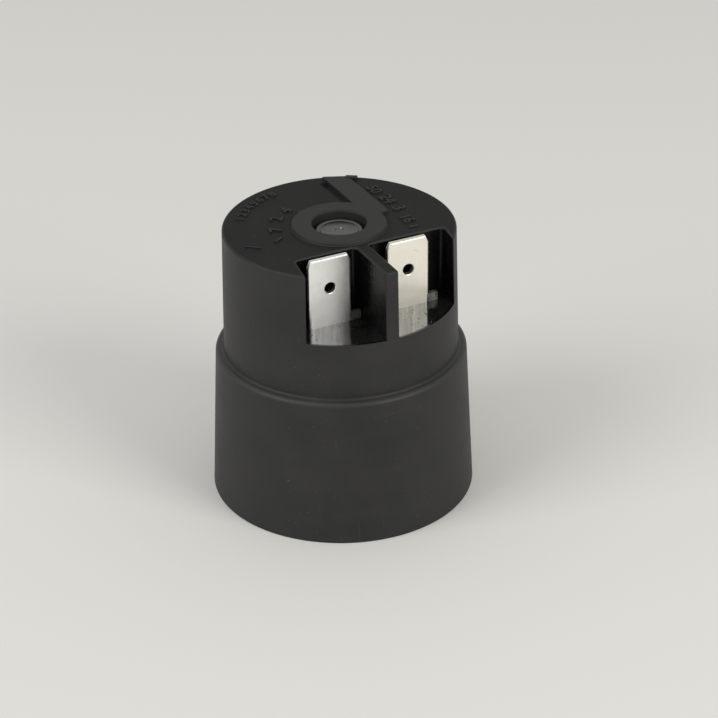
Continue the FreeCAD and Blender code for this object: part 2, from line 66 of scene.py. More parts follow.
def pick(piece, kind, test):
    # kind is VERT, EDGE or FACE; test gets a point, two points, or a centre and a normal
    leave()
    mesh = piece.data
    for group in (mesh.vertices, mesh.edges, mesh.polygons):
        group.foreach_set("select", [False] * len(group))
    bpy.context.tool_settings.mesh_select_mode = (kind == "VERT", kind == "EDGE", kind == "FACE")
    count = 0
    if kind == "VERT":
        for vertex in mesh.vertices:
            vertex.select = bool(test(vertex.co))
            count += vertex.select
    if kind == "EDGE":
        for edge in mesh.edges:
            ends = [mesh.vertices[index].co for index in edge.vertices]
            edge.select = bool(test(*ends))
            count += edge.select
    if kind == "FACE":
        for face in mesh.polygons:
            face.select = bool(test(face.center, face.normal))
            count += face.select
    bpy.ops.object.mode_set(mode="EDIT")
    return count


def pickAll():
    bpy.ops.mesh.select_all(action="SELECT")


def bevelPicked(size, segments):
    bpy.ops.mesh.bevel(offset=size * mm, segments=segments, affect="EDGES")


def bevelAll(piece, size):
    edit(piece)
    pickAll()
    bevelPicked(size, 2)
    leave()


def near(a, b):
    return abs(a - b) < touch


def lower(a, b):
    return a if a.z < b.z else b


def apart(point):
    # distance from the valve's axis
    return math.hypot(point.x, point.y)


def named(piece, name):
    piece.name = name
    piece.data.name = name
    return piece


def settle(piece):
    # the piece's place goes into its mesh
    focus(piece)
    bpy.ops.object.transform_apply(location=True, rotation=True, scale=True)
    return piece


def cutOrJoin(piece, tool, how):
    focus(piece)
    modifier = piece.modifiers.new("shape", "BOOLEAN")
    modifier.operation = how
    modifier.solver = "EXACT"
    modifier.object = tool
    bpy.ops.object.modifier_apply(modifier=modifier.name)
    bpy.data.objects.remove(tool, do_unlink=True)


def smooth(piece, angle=32):
    # stray doubles go, and faces that meet below the angle shade as one
    edit(piece)
    pickAll()
    bpy.ops.mesh.remove_doubles(threshold=touch / 40)
    bpy.ops.mesh.normals_make_consistent(inside=False)
    leave()
    bpy.ops.object.shade_smooth_by_angle(angle=math.radians(angle))
    weigh = piece.modifiers.new("weigh", "WEIGHTED_NORMAL")
    weigh.keep_sharp = True
    bpy.ops.object.modifier_apply(modifier="weigh")


def tower(name, rings, steps):
    # a closed round solid that climbs through (radius, height) rings, all in millimetres
    radius, height = rings[0]
    bpy.ops.mesh.primitive_circle_add(vertices=steps, radius=radius * mm, fill_type="NGON",
                                      location=(0, 0, height * mm))
    piece = settle(bpy.context.object)
    edit(piece)
    pickAll()
    for nextRadius, nextHeight in rings[1:]:
        rise = (nextHeight - height) * mm
        bpy.ops.mesh.extrude_region_move(TRANSFORM_OT_translate={"value": (0, 0, rise)})
        grow = nextRadius / radius
        bpy.ops.transform.resize(value=(grow, grow, 1), center_override=(0, 0, nextHeight * mm))
        radius, height = nextRadius, nextHeight
    leave()
    return named(piece, name)


def corner(centreRadius, centreHeight, size, start, end, count=4):
    # rings round a rounded edge, from one angle to another
    rings = []
    for index in range(count + 1):
        angle = math.radians(start + (end - start) * index / count)
        rings.append((centreRadius + size * math.cos(angle), centreHeight + size * math.sin(angle)))
    return rings


def block(name, low, high, bevel=0.0):
    # a box between two corners in millimetres, with its edges eased
    middle = [(a + b) / 2 * mm for a, b in zip(low, high)]
    bpy.ops.mesh.primitive_cube_add(size=1, location=middle)
    piece = bpy.context.object
    piece.scale = [(b - a) * mm for a, b in zip(low, high)]
    settle(piece)
    if bevel:
        bevelAll(piece, bevel)
    return named(piece, name)


def finishPiece(piece, node, material, body="head"):
    # its material, the body it rides on and the CAD node it stands for
    piece.data.materials.clear()
    piece.data.materials.append(material)
    if body:
        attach(piece, body)
    if node:
        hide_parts(node)


class Wire:
    # one output socket, which adds Math nodes as it is calculated with
    def __init__(self, recipe, socket):
        self.recipe = recipe
        self.socket = socket

    def sum(self, how, other, swap=False):
        pair = [other, self] if swap else [self, other]
        return self.recipe.node("ShaderNodeMath", {"operation": how}, {0: pair[0], 1: pair[1]})

    def __add__(self, other):
        return self.sum("ADD", other)

    def __radd__(self, other):
        return self.sum("ADD", other, True)

    def __sub__(self, other):
        return self.sum("SUBTRACT", other)

    def __rsub__(self, other):
        return self.sum("SUBTRACT", other, True)

    def __mul__(self, other):
        return self.sum("MULTIPLY", other)

    def __rmul__(self, other):
        return self.sum("MULTIPLY", other, True)

    def __truediv__(self, other):
        return self.sum("DIVIDE", other)


class Recipe:
    # one material: its node tree, its shader and the nodes that feed it
    def __init__(self, name, **fixed):
        self.material = bpy.data.materials.new(name)
        self.material.use_nodes = True
        self.tree = self.material.node_tree
        self.shader = self.tree.nodes["Principled BSDF"]
        for socket, value in fixed.items():
            self.shader.inputs[socket.replace("_", " ")].default_value = value

    def node(self, kind, settings=None, sockets=None, out=0):
        made = self.tree.nodes.new(kind)
        for key, value in (settings or {}).items():
            setattr(made, key, value)
        for key, value in (sockets or {}).items():
            self.plug(made.inputs[key], value)
        return Wire(self, made.outputs[out])

    def plug(self, socket, value):
        if isinstance(value, Wire):
            self.tree.links.new(value.socket, socket)
        else:
            socket.default_value = value

    def feed(self, **wires):
        for key, value in wires.items():
            self.plug(self.shader.inputs[key.replace("_", " ")], value)
        return self.material

    def point(self):
        # a place on the piece, in the part's own frame
        return self.node("ShaderNodeTexCoord", None, None, "Object")

    def place(self, scale=(1, 1, 1), shift=(0, 0, 0)):
        return self.node("ShaderNodeMapping", None,
                         {"Vector": self.point(), "Scale": scale, "Location": shift})

    def wave(self, wire):
        return self.node("ShaderNodeMath", {"operation": "SINE"}, {0: wire})

    def noise(self, size, detail=3.0, rough=0.5, stretch=(1, 1, 1), shift=(0, 0, 0)):
        # size is the grain's own size in millimetres
        return self.node("ShaderNodeTexNoise", {"noise_dimensions": "3D"},
                         {"Vector": self.place(stretch, shift=shift), "Scale": 1 / (size * mm),
                          "Detail": detail, "Roughness": rough})

    def stretch(self, wire, low, high, newLow=0.0, newHigh=1.0):
        # one range mapped to another, and held at its ends
        return self.node("ShaderNodeMapRange", {"clamp": True},
                         {"Value": wire, "From Min": low, "From Max": high,
                          "To Min": newLow, "To Max": newHigh})

    def blend(self, factor, first, second):
        made = self.tree.nodes.new("ShaderNodeMix")
        made.data_type = "RGBA"
        self.plug(made.inputs[0], factor)
        self.plug(made.inputs[6], first)
        self.plug(made.inputs[7], second)
        return Wire(self, made.outputs[2])

    def axisDistance(self):
        flat = self.node("ShaderNodeVectorMath", {"operation": "MULTIPLY"},
                         {0: self.point(), 1: (1, 1, 0)})
        return self.node("ShaderNodeVectorMath", {"operation": "LENGTH"}, {0: flat}, 1)

    def height(self):
        return self.node("ShaderNodeSeparateXYZ", None, {0: self.point()}, 2)

    def bump(self, wire, deep, strength=1.0, under=None):
        # deep is the relief's full height in millimetres
        sockets = {"Height": wire, "Distance": deep * mm, "Strength": strength}
        if under:
            sockets["Normal"] = under
        return self.node("ShaderNodeBump", None, sockets)


def grey(value, warm=0.0):
    return (value * (1 + warm), value, value * (1 - warm), 1)


# millimetres; a painted highlight lies along the ledge's rounded edge in a band that rises, holds and
# falls at these heights
mouldingLook = {"grain": 0.16, "grainDeep": 0.012, "speck": 0.13,
                "ledgeHighlightBand": (21.1, 21.75, 21.82, 21.98), "ledgePaintedHighlight": 0.055,
                "side": {"tone": 0.0145, "dust": 0.0225, "rough": 0.47, "shine": 0.35},
                # the top faces: rougher and less shiny, and a darker colour that is painted shade
                "top": {"tone": 0.009, "dust": 0.016, "rough": 0.56, "shine": 0.2}}


def makeMoulding(name, look):
    # satin glass-filled plastic: fine spark grain, faint flow bands, handling marks, dust in the
    # mottling, and a painted highlight along the ledge
    recipe = Recipe(name, IOR=1.5, Specular_IOR_Level=look["shine"])
    grain = recipe.noise(mouldingLook["grain"], 2.0, 0.6)
    cloud = recipe.noise(7, 4.0, 0.55)
    bands = recipe.noise(5, 3.0, 0.5, stretch=(0.35, 0.35, 2.2), shift=(0.01, 0.02, 0.03))
    specks = recipe.stretch(recipe.noise(0.32, 1.0, 0.5, shift=(0.3, 0.1, 0.2)), 0.72, 0.8)
    scuffs = recipe.stretch(recipe.noise(1.1, 2.0, 0.6, stretch=(1, 1, 0.12)), 0.68, 0.8)
    tone = recipe.stretch(cloud + 0.4 * bands, 0.5, 0.9)
    body = recipe.blend(tone, grey(look["tone"], 0.01), grey(look["dust"], 0.02))
    body = recipe.blend(0.3 * specks + 0.12 * scuffs, body, grey(mouldingLook["speck"], 0.02))
    height = recipe.height() / mm
    # painted highlight: a lighter, glossier band round the ledge's rounded edge
    rise, full, hold, fall = mouldingLook["ledgeHighlightBand"]
    ledge = recipe.stretch(height, rise, full) * recipe.stretch(height, hold, fall, 1, 0)
    body = recipe.blend((0.35 + 0.4 * cloud) * ledge, body, grey(mouldingLook["ledgePaintedHighlight"], 0.01))
    rough = look["rough"] + 0.1 * tone + 0.06 * grain - 0.05 * scuffs - 0.1 * ledge
    fine = recipe.bump(grain, mouldingLook["grainDeep"], 0.7)
    wavy = recipe.bump(cloud, 0.05, 0.35, fine)
    return recipe.feed(Base_Color=body, Roughness=rough, Normal=wavy)


def makeShadedPocketWalls():
    # the pockets' own walls: the same plastic off a polished core, so it is smoother; its near-black
    # colour is painted shade for the pockets' depths
    recipe = Recipe("pocketWallsPaintedShade", IOR=1.5, Specular_IOR_Level=0.2)
    drag = recipe.noise(0.4, 3.0, 0.6, stretch=(1, 1, 0.12))
    haze = recipe.noise(2.5, 3.0, 0.5)
    body = recipe.blend(haze, grey(0.002), grey(0.005))
    rough = 0.2 + 0.1 * haze + 0.05 * drag
    return recipe.feed(Base_Color=body, Roughness=rough, Normal=recipe.bump(drag, 0.01, 0.4))


def makeResin():
    # cast resin: nearly black and wet-looking, with slow ripples and a few pinholes
    recipe = Recipe("castResin", IOR=1.48)
    ripple = recipe.noise(3.2, 1.5, 0.4)
    haze = recipe.noise(1.5, 3.0, 0.55)
    holes = recipe.stretch(recipe.noise(0.5, 0.0, 0.5), 0.74, 0.8)
    body = recipe.blend(haze, grey(0.006), grey(0.014, 0.03))
    rough = recipe.stretch(haze, 0.35, 0.7, 0.05, 0.14) + 0.3 * holes
    dimple = recipe.bump(1 - holes, 0.02, 0.6)
    return recipe.feed(Base_Color=body, Roughness=rough, Normal=recipe.bump(ripple, 0.09, 0.6, dimple))


def makeTin(name, bright, dull):
    # bright tin on a rolled brass blade: streaks along the strip, soft mottling, a warm tinge
    recipe = Recipe(name, Metallic=1.0)
    streaks = recipe.noise(0.22, 4.0, 0.6, stretch=(1, 1, 0.045))
    mottle = recipe.noise(1.3, 4.0, 0.55)
    marks = recipe.stretch(recipe.noise(0.5, 2.0, 0.6, stretch=(0.25, 1, 1)), 0.66, 0.78)
    body = recipe.blend(recipe.stretch(mottle, 0.35, 0.7), bright, dull)
    body = recipe.blend(0.35 * marks, body, (0.42, 0.4, 0.36, 1))
    rough = recipe.stretch(streaks, 0.3, 0.75, 0.3, 0.46) + 0.1 * marks
    fine = recipe.bump(streaks, 0.006, 0.5)
    return recipe.feed(Base_Color=body, Roughness=rough, Normal=recipe.bump(mottle, 0.02, 0.3, fine))


def makeDarkShoulder():
    # the shoulders beside the blades' feet: a dull dark metal, lumpy, and darker still in patches
    recipe = Recipe("dimShoulderMetal", Metallic=0.6)
    lumps = recipe.noise(0.45, 3.0, 0.6)
    stain = recipe.stretch(recipe.noise(0.9, 3.0, 0.6, shift=(0.1, 0, 0)), 0.45, 0.65)
    body = recipe.blend(stain, (0.26, 0.25, 0.23, 1), (0.05, 0.045, 0.035, 1))
    return recipe.feed(Base_Color=body, Roughness=0.3 + 0.25 * stain,
                       Normal=recipe.bump(lumps, 0.12, 0.9))


def makeTurned(name, tone, rough, pitch=0.12, deep=0.008):
    # turned metal: rings about the axis on end faces and lines round the sides
    recipe = Recipe(name, Metallic=1.0)
    path = recipe.axisDistance() + recipe.height()
    waver = recipe.noise(2.0, 2.0, 0.5)
    lines = recipe.wave(path * (2 * math.pi / (pitch * mm)) + 3 * waver)
    uneven = recipe.noise(0.4, 3.0, 0.6)
    stain = recipe.stretch(recipe.noise(3.0, 4.0, 0.6, shift=(0.2, 0, 0)), 0.5, 0.75)
    light = tuple(tone) + (1,)
    dull = tuple(channel * 0.72 for channel in tone) + (1,)
    body = recipe.blend(0.6 * stain, light, dull)
    gloss = rough + 0.08 * uneven + 0.1 * stain
    return recipe.feed(Base_Color=body, Roughness=gloss, Normal=recipe.bump(lines + uneven, deep, 0.6))


def makePlated():
    # zinc-plated steel: fine crystalline mottling and drawing lines
    recipe = Recipe("zincPlated", Metallic=1.0)
    grain = recipe.node("ShaderNodeTexVoronoi", {"feature": "F1"},
                        {"Vector": recipe.place(), "Scale": 1 / (0.5 * mm)})
    drawn = recipe.noise(0.3, 3.0, 0.6, stretch=(1, 1, 0.08))
    cloud = recipe.noise(4, 4.0, 0.6)
    body = recipe.blend(recipe.stretch(cloud, 0.35, 0.7), (0.62, 0.63, 0.65, 1), (0.5, 0.51, 0.5, 1))
    rough = 0.26 + 0.18 * cloud + 0.06 * grain
    fine = recipe.bump(drawn, 0.006, 0.6)
    return recipe.feed(Base_Color=body, Roughness=rough, Normal=recipe.bump(grain, 0.006, 0.5, fine))


# the winding's turn and the tape's turn, in millimetres
copperPitch = 0.28
tapeLap = 4.5


def makeCopper():
    # enamelled wire, wound in layers: a round ridge for each turn, with painted shade in the grooves
    # between turns
    recipe = Recipe("enamelledCopper", Metallic=1.0)
    turns = recipe.wave(recipe.height() * (2 * math.pi / (copperPitch * mm)))
    uneven = recipe.noise(0.9, 3.0, 0.5)
    body = recipe.blend(uneven, (0.72, 0.29, 0.12, 1), (0.5, 0.17, 0.07, 1))
    # painted shade: the colour darkens towards the groove between each turn
    shade = recipe.stretch(turns, -1, 0.2, 0.25, 1.0)
    body = recipe.blend(shade, (0.1, 0.03, 0.015, 1), body)
    return recipe.feed(Base_Color=body, Roughness=0.22 + 0.15 * uneven,
                       Normal=recipe.bump(turns + 0.3 * uneven, 0.06, 0.9))


def makeTape():
    # amber polyester film, wrapped in overlapping turns, with painted shade along each lap's edge
    recipe = Recipe("amberTape", IOR=1.6)
    laps = recipe.node("ShaderNodeMath", {"operation": "FRACT"}, {0: recipe.height() / (tapeLap * mm)})
    edge = recipe.stretch(laps, 0.93, 0.97)
    crease = recipe.noise(1.6, 4.0, 0.6, stretch=(0.4, 0.4, 1.6))
    body = recipe.blend(crease, (0.55, 0.33, 0.04, 1), (0.4, 0.21, 0.02, 1))
    # painted shade: a dark line along the step at each lap's edge
    body = recipe.blend(0.5 * edge, body, (0.2, 0.1, 0.01, 1))
    return recipe.feed(Base_Color=body, Roughness=0.2 + 0.2 * crease,
                       Normal=recipe.bump(crease + edge, 0.05, 0.6))


def makeSoft(name, tone, second, rough, size, deep):
    # one recipe for the plain moulded and rubber pieces: mottled tone over a fine grain
    recipe = Recipe(name, IOR=1.5)
    cloud = recipe.noise(size * 12, 4.0, 0.55)
    grain = recipe.noise(size, 2.0, 0.6)
    body = recipe.blend(recipe.stretch(cloud, 0.3, 0.7), tone, second)
    gloss = rough + 0.12 * cloud + 0.06 * grain
    return recipe.feed(Base_Color=body, Roughness=gloss, Normal=recipe.bump(grain, deep, 0.6))


def makeFloor():
    # plain pale paper sweep with the faintest tooth
    recipe = Recipe("paleSweep", IOR=1.45)
    tooth = recipe.noise(1.2, 3.0, 0.6)
    wide = recipe.noise(180, 2.0, 0.5)
    body = recipe.blend(wide, (0.8, 0.795, 0.765, 1), (0.82, 0.817, 0.785, 1))
    return recipe.feed(Base_Color=body, Roughness=0.62 + 0.1 * tooth,
                       Normal=recipe.bump(tooth, 0.02, 0.2))


moulding = makeMoulding("mouldedBlack", mouldingLook["side"])
# the top faces' copy of the moulding, its darker colour painted shade
mattePaintedShadeTop = makeMoulding("mouldedBlackTopShaded", mouldingLook["top"])
shadedPocketWalls = makeShadedPocketWalls()
resin = makeResin()
tins = {"left": makeTin("tinnedBrass", (0.98, 0.98, 0.97, 1), (0.92, 0.91, 0.88, 1)),
        "right": makeTin("tinnedBrassWarm", (0.99, 0.96, 0.88, 1), (0.96, 0.92, 0.8, 1))}
stainless = makeTurned("turnedStainless", (0.62, 0.62, 0.61), 0.2)
dullSteel = makeTurned("coreSteel", (0.17, 0.17, 0.16), 0.14, 0.3, 0.003)
darkShoulder = makeDarkShoulder()
brass = makeTurned("turnedBrass", (0.8, 0.6, 0.27), 0.2, 0.16)
springSteel = makeTurned("drawnSpringSteel", (0.42, 0.42, 0.43), 0.28, 0.05, 0.002)
plated = makePlated()
copper = makeCopper()
tape = makeTape()
rubber = makeSoft("blackRubber", grey(0.012), grey(0.024), 0.5, 0.2, 0.01)
nylon = makeSoft("naturalNylon", (0.62, 0.58, 0.46, 1), (0.55, 0.5, 0.38, 1), 0.4, 0.3, 0.01)
print("materials made")


# sizes in millimetres, in the part's own frame
head = {"steps": 192, "boreSteps": 128, "holeSteps": 96, "baseRadius": 18.9, "skirtTop": 17.82,
        "ledge": 21.8, "neck": 16.66, "topRadius": 16.25, "top": 40.1, "baseRound": 0.12,
        "ledgeRound": 0.62, "ledgeFull": 0.03, "ledgeFillet": 0.36, "rimRound": 0.27, "floor": 30.1,
        "skirtRings": 6, "neckRing": 26, "cavity": 15.0, "cavityTop": 27.0, "hole": 3.8,
        "holeStep": 38.3, "bore": 3.62, "overrun": 0.5}
pocketSize = {"back": 7.0, "web": 0.95, "corner": 0.7, "crowd": 0.8, "floorReach": 9, "mouth": 16.0,
              "margin": 0.3, "side": {1: 12.6, -1: 10.0}, "lean": {1: -0.1, -1: 0.18}}
recess = {"deep": 1.0, "radius": 16.15, "inset": 0.01, "gap": 0.006, "over": 1, "beyond": 20}
bossSize = {"radius": 6.62, "high": 0.5, "round": 0.26, "flare": 0.12, "flareHigh": 0.1,
            "draft": 0.02, "lap": 0.001}
padSize = {"inner": 4.6, "outer": 8.0, "front": 0.5, "high": 0.35, "reach": 15.75, "round": 0.12,
           "sunk": 0.4, "gutter": 1.1, "gutterDeep": 0.55, "gutterFrom": 5.8, "gutterTo": 13.6,
           "gutterRound": 0.1, "gutterLap": 0.02, "gutterOver": 0.2}


def wallRadius(height):
    # the upper body's drafted side
    share = (height - head["ledge"]) / (head["top"] - head["ledge"])
    return head["neck"] + (head["topRadius"] - head["neck"]) * share


def outerRings():
    # the outside from the base up to the pockets' floor level
    base, ledge = head["baseRadius"], head["ledge"]
    ease, rounding, fillet = head["baseRound"], head["ledgeRound"], head["ledgeFillet"]
    rings = [(base - ease, 0.0)]
    rings += corner(base - ease, ease, ease, -60, 0, 3)
    lean = (base - head["skirtTop"]) / ledge
    for part in range(1, head["skirtRings"]):
        height = ledge * part / head["skirtRings"]
        rings.append((base - lean * height, height))
    rings += corner(head["skirtTop"] - rounding + head["ledgeFull"], ledge - rounding, rounding, 0, 90, 5)
    foot = wallRadius(ledge + fillet)
    steps = 3
    for index in range(steps + 1):
        angle = math.radians(90 * index / steps)
        rings.append((foot + fillet * (1 - math.sin(angle)), ledge + fillet * (1 - math.cos(angle))))
    for height in (head["neckRing"], head["floor"]):
        rings.append((wallRadius(height), height))
    return rings


def onFloorLevel(centre, normal):
    return near(centre.z, head["floor"] * mm) and normal.z > 0.9


def splitTop(piece):
    # the pockets' outlines are cut across the face at floor level
    back = -pocketSize["back"] * mm
    web = pocketSize["web"] * mm
    pick(piece, "FACE", onFloorLevel)
    bpy.ops.mesh.bisect(plane_co=(0, back, 0), plane_no=(0, 1, 0))
    for side in (1, -1):
        pick(piece, "FACE", lambda c, n: onFloorLevel(c, n) and c.y < back)
        bpy.ops.mesh.bisect(plane_co=(side * web, 0, 0), plane_no=(1, 0, 0))
        pick(piece, "FACE", lambda c, n: onFloorLevel(c, n) and c.y < back and side * c.x > web)
        bpy.ops.mesh.bisect(plane_co=(side * pocketSize["side"][side] * mm, back, 0),
                            plane_no=(side, pocketSize["lean"][side], 0))


def isPocketFloor(centre, normal):
    inside = pocketSize["web"] * mm < abs(centre.x) < pocketSize["floorReach"] * mm
    return onFloorLevel(centre, normal) and inside and centre.y < -pocketSize["back"] * mm


def raiseWalls(piece):
    # all but the pockets' floors goes up to the top, with the wall's draft
    pick(piece, "FACE", lambda c, n: onFloorLevel(c, n) and not isPocketFloor(c, n))
    rise = (head["top"] - head["floor"]) * mm
    bpy.ops.mesh.extrude_region_move(TRANSFORM_OT_translate={"value": (0, 0, rise)})
    low = wallRadius(head["floor"])
    lean = head["topRadius"] / low
    pick(piece, "VERT", lambda p: near(p.z, head["top"] * mm) and apart(p) > (low - 0.1) * mm)
    bpy.ops.transform.resize(value=(lean, lean, 1), center_override=(0, 0, head["top"] * mm))


def isUpright(a, b):
    return abs(a.z - b.z) > 5 * mm and lower(a, b).z > (head["floor"] - 0.1) * mm


def isOutside(a, b):
    return min(apart(a), apart(b)) >= (head["topRadius"] - 0.05) * mm


def pocketSide(side, along):
    # how far out a pocket's side wall stands, in millimetres, at a place along Y in metres
    return pocketSize["side"][side] + pocketSize["lean"][side] * (-along / mm - pocketSize["back"])


def isArris(a, b):
    # an upright edge where a pocket's side or the web meets the outer wall
    if not isUpright(a, b) or not isOutside(a, b) or a.y > -pocketSize["back"] * mm:
        return False
    web = pocketSize["web"] * mm
    low = lower(a, b)
    onWeb = near(abs(a.x), web) and near(abs(b.x), web)
    return onWeb or any(near(low.x, side * pocketSide(side, low.y) * mm) for side in (1, -1))


def thinCrowded(piece):
    # an upright facet line so close to an arris that the arris's round would run over it goes
    feet = []
    for edge in piece.data.edges:
        ends = [piece.data.vertices[index].co for index in edge.vertices]
        if isArris(*ends):
            feet.append(lower(*ends).copy())

    def crowds(a, b):
        if not isUpright(a, b) or isArris(a, b) or not isOutside(a, b):
            return False
        return any((lower(a, b) - foot).length < pocketSize["crowd"] * mm for foot in feet)

    count = pick(piece, "EDGE", crowds)
    bpy.ops.mesh.dissolve_edges(use_verts=True)
    return count


def easeEdges(piece):
    # the pockets' inner corners first, then the rim and the arrises in one bevel, so that they mitre
    back = -pocketSize["back"] * mm
    top = head["top"] * mm
    inner = pick(piece, "EDGE", lambda a, b: isUpright(a, b) and near(a.y, back) and near(b.y, back))
    bevelPicked(pocketSize["corner"], 5)
    leave()
    crowded = thinCrowded(piece)
    pick(piece, "FACE", lambda c, n: near(c.z, top) and n.z > 0.9)
    bpy.ops.mesh.region_to_loop()
    leave()
    rim = [edge.index for edge in piece.data.edges if edge.select]
    arrises = pick(piece, "EDGE", isArris)
    leave()
    for index in rim:
        piece.data.edges[index].select = True
    bpy.ops.object.mode_set(mode="EDIT")
    bevelPicked(head["rimRound"], 4)
    leave()
    print("inner corners", inner, "arrises", arrises, "crowded", crowded, "rim edges", len(rim))


def addBoss(piece):
    # the low ring round the hole, with a small flare at its foot
    radius, high, ease = bossSize["radius"], bossSize["high"], bossSize["round"]
    flare = radius + bossSize["flare"]
    top = head["top"]
    rings = [(flare, top - head["overrun"]), (flare, top - bossSize["lap"]),
             (radius + bossSize["draft"], top + bossSize["flareHigh"])]
    rings += corner(radius - ease, top + high - ease, ease, 0, 90, 3)
    cutOrJoin(piece, tower("bossTool", rings, head["boreSteps"]), "UNION")


def addPad(piece):
    # the raised strip from the boss to the rim, cut at its far end to the rim's curve
    top = head["top"]
    tool = block("padTool", (padSize["inner"], padSize["front"], top - padSize["sunk"]),
                 (padSize["outer"], padSize["reach"], top + padSize["high"]))
    middle = (padSize["front"] + padSize["reach"]) / 2 * mm
    for vertex in tool.data.vertices:
        if vertex.co.y > middle:
            vertex.co.y = math.sqrt((padSize["reach"] * mm) ** 2 - vertex.co.x ** 2)
    bevelAll(tool, padSize["round"])
    cutOrJoin(piece, tool, "UNION")
    low = (padSize["inner"] - padSize["gutter"], padSize["gutterFrom"], top - padSize["gutterDeep"])
    high = (padSize["inner"] + padSize["gutterLap"], padSize["gutterTo"], top + padSize["gutterOver"])
    cutOrJoin(piece, block("gutterTool", low, high, padSize["gutterRound"]), "DIFFERENCE")


def hollowOut(piece):
    # the winding's cavity from below, then the stepped hole for the core, eased at its mouth
    ease, hole, bore, over = bossSize["round"], head["hole"], head["bore"], head["overrun"]
    rings = [(head["cavity"], -2 * over), (head["cavity"], head["cavityTop"])]
    cutOrJoin(piece, tower("cavityTool", rings, head["boreSteps"]), "DIFFERENCE")
    mouth = head["top"] + bossSize["high"]
    rings = [(bore, head["cavityTop"] - over), (bore, head["holeStep"]), (hole, head["holeStep"]),
             (hole, mouth - ease), (hole + 0.3 * ease, mouth - 0.4 * ease), (hole + ease, mouth),
             (hole + 1.2 * ease, mouth + over)]
    cutOrJoin(piece, tower("holeTool", rings, head["holeSteps"]), "DIFFERENCE")


def recessTool(side, grow=0.0):
    # the space that the cast resin fills: a slab cut off by the lip's curve
    low = head["floor"] - recess["deep"]
    under, over = low - recess["over"], head["floor"] + recess["over"]
    inset, beyond = recess["inset"], recess["beyond"]
    back = -pocketSize["back"]
    rings = [(recess["radius"], low), (recess["radius"], head["floor"] + grow)]
    tool = tower("resinTool", rings, head["steps"])
    slab = block("resinSlab", (-beyond, -beyond, under), (beyond, back - inset, over))
    cutOrJoin(tool, slab, "INTERSECT")
    start, end = sorted((side * (pocketSize["web"] + inset), side * -beyond))
    cutOrJoin(tool, block("webSlab", (start, -beyond, under), (end, 0, over)), "DIFFERENCE")
    edit(tool)
    pickAll()
    wall = side * (pocketSize["side"][side] - inset) * mm
    bpy.ops.mesh.bisect(plane_co=(wall, back * mm, 0), plane_no=(side, pocketSize["lean"][side], 0),
                        clear_outer=True, use_fill=True)
    leave()
    return tool


def cutRecesses(piece):
    # the resin's recess in each pocket's floor, and below it the slot for the blade's root
    ease = blade["slotEase"]
    for side in (1, -1):
        cutOrJoin(piece, recessTool(side, head["overrun"]), "DIFFERENCE")
        middle = bladePlace(side)
        reach = blade["rootWidth"] / 2 + ease
        slot = block("slotTool", (middle - reach, blade["front"] - ease, blade["slotFoot"]),
                     (middle + reach, blade["back"] + ease, head["floor"]))
        cutOrJoin(piece, slot, "DIFFERENCE")


blade = {"middle": 5.95, "shift": 0.2, "width": 6.3, "front": -8.9, "back": -8.1, "tip": 40.3,
         "cutWide": 0.45, "cutHigh": 0.9, "shoulder": 1.5, "shoulderTop": 31.3, "foot": 29.3,
         "rootWidth": 4.8, "rootFoot": 24.8, "rootLap": 0.3, "bevelWide": 0.3, "bevelDeep": 0.14,
         "ease": 0.08, "shoulderThin": 0.004, "rootThin": 0.008, "slotEase": 0.05, "slotFoot": 26,
         "hole": 0.8, "holeDrop": 4.5, "holeSteps": 40, "holeFlare": 0.1, "drillLand": 0.32,
         "drillFace": 0.4, "drillOver": 0.6}


def bladePlace(side):
    return blade["shift"] + side * blade["middle"]


def onTop(centre, normal):
    return near(centre.z, head["top"] * mm) and normal.z > 0.99


def inPocket(centre):
    # walls and floors inside the pockets, but not their mouths' outer edges: the faces that get the
    # painted pocket shade
    inHeight = (head["floor"] - 0.05) * mm < centre.z < (head["top"] - 0.3) * mm
    behindMouth = apart(centre) < pocketSize["mouth"] * mm
    aheadOfBack = centre.y < -(pocketSize["back"] - 0.1) * mm
    left, right = (side * (pocketSide(side, centre.y) + pocketSize["margin"]) for side in (-1, 1))
    return inHeight and aheadOfBack and behindMouth and left < centre.x / mm < right


def makeHead():
    piece = tower("coilHead", outerRings(), head["steps"])
    edit(piece)
    pickAll()
    bpy.ops.mesh.normals_make_consistent(inside=False)
    leave()
    for stage in (splitTop, raiseWalls, easeEdges, addBoss, addPad, hollowOut, cutRecesses, smooth):
        stage(piece)
    finishPiece(piece, "coil_housing", moulding)
    piece.data.materials.append(shadedPocketWalls)
    piece.data.materials.append(mattePaintedShadeTop)
    # faces in the pockets take the painted pocket shade, top faces the top copy whose darker colour is
    # painted shade
    for face in piece.data.polygons:
        face.material_index = 1 if inPocket(face.center) else 2 if onTop(face.center, face.normal) else 0
    print("head:", len(piece.data.polygons), "faces")


makeHead()


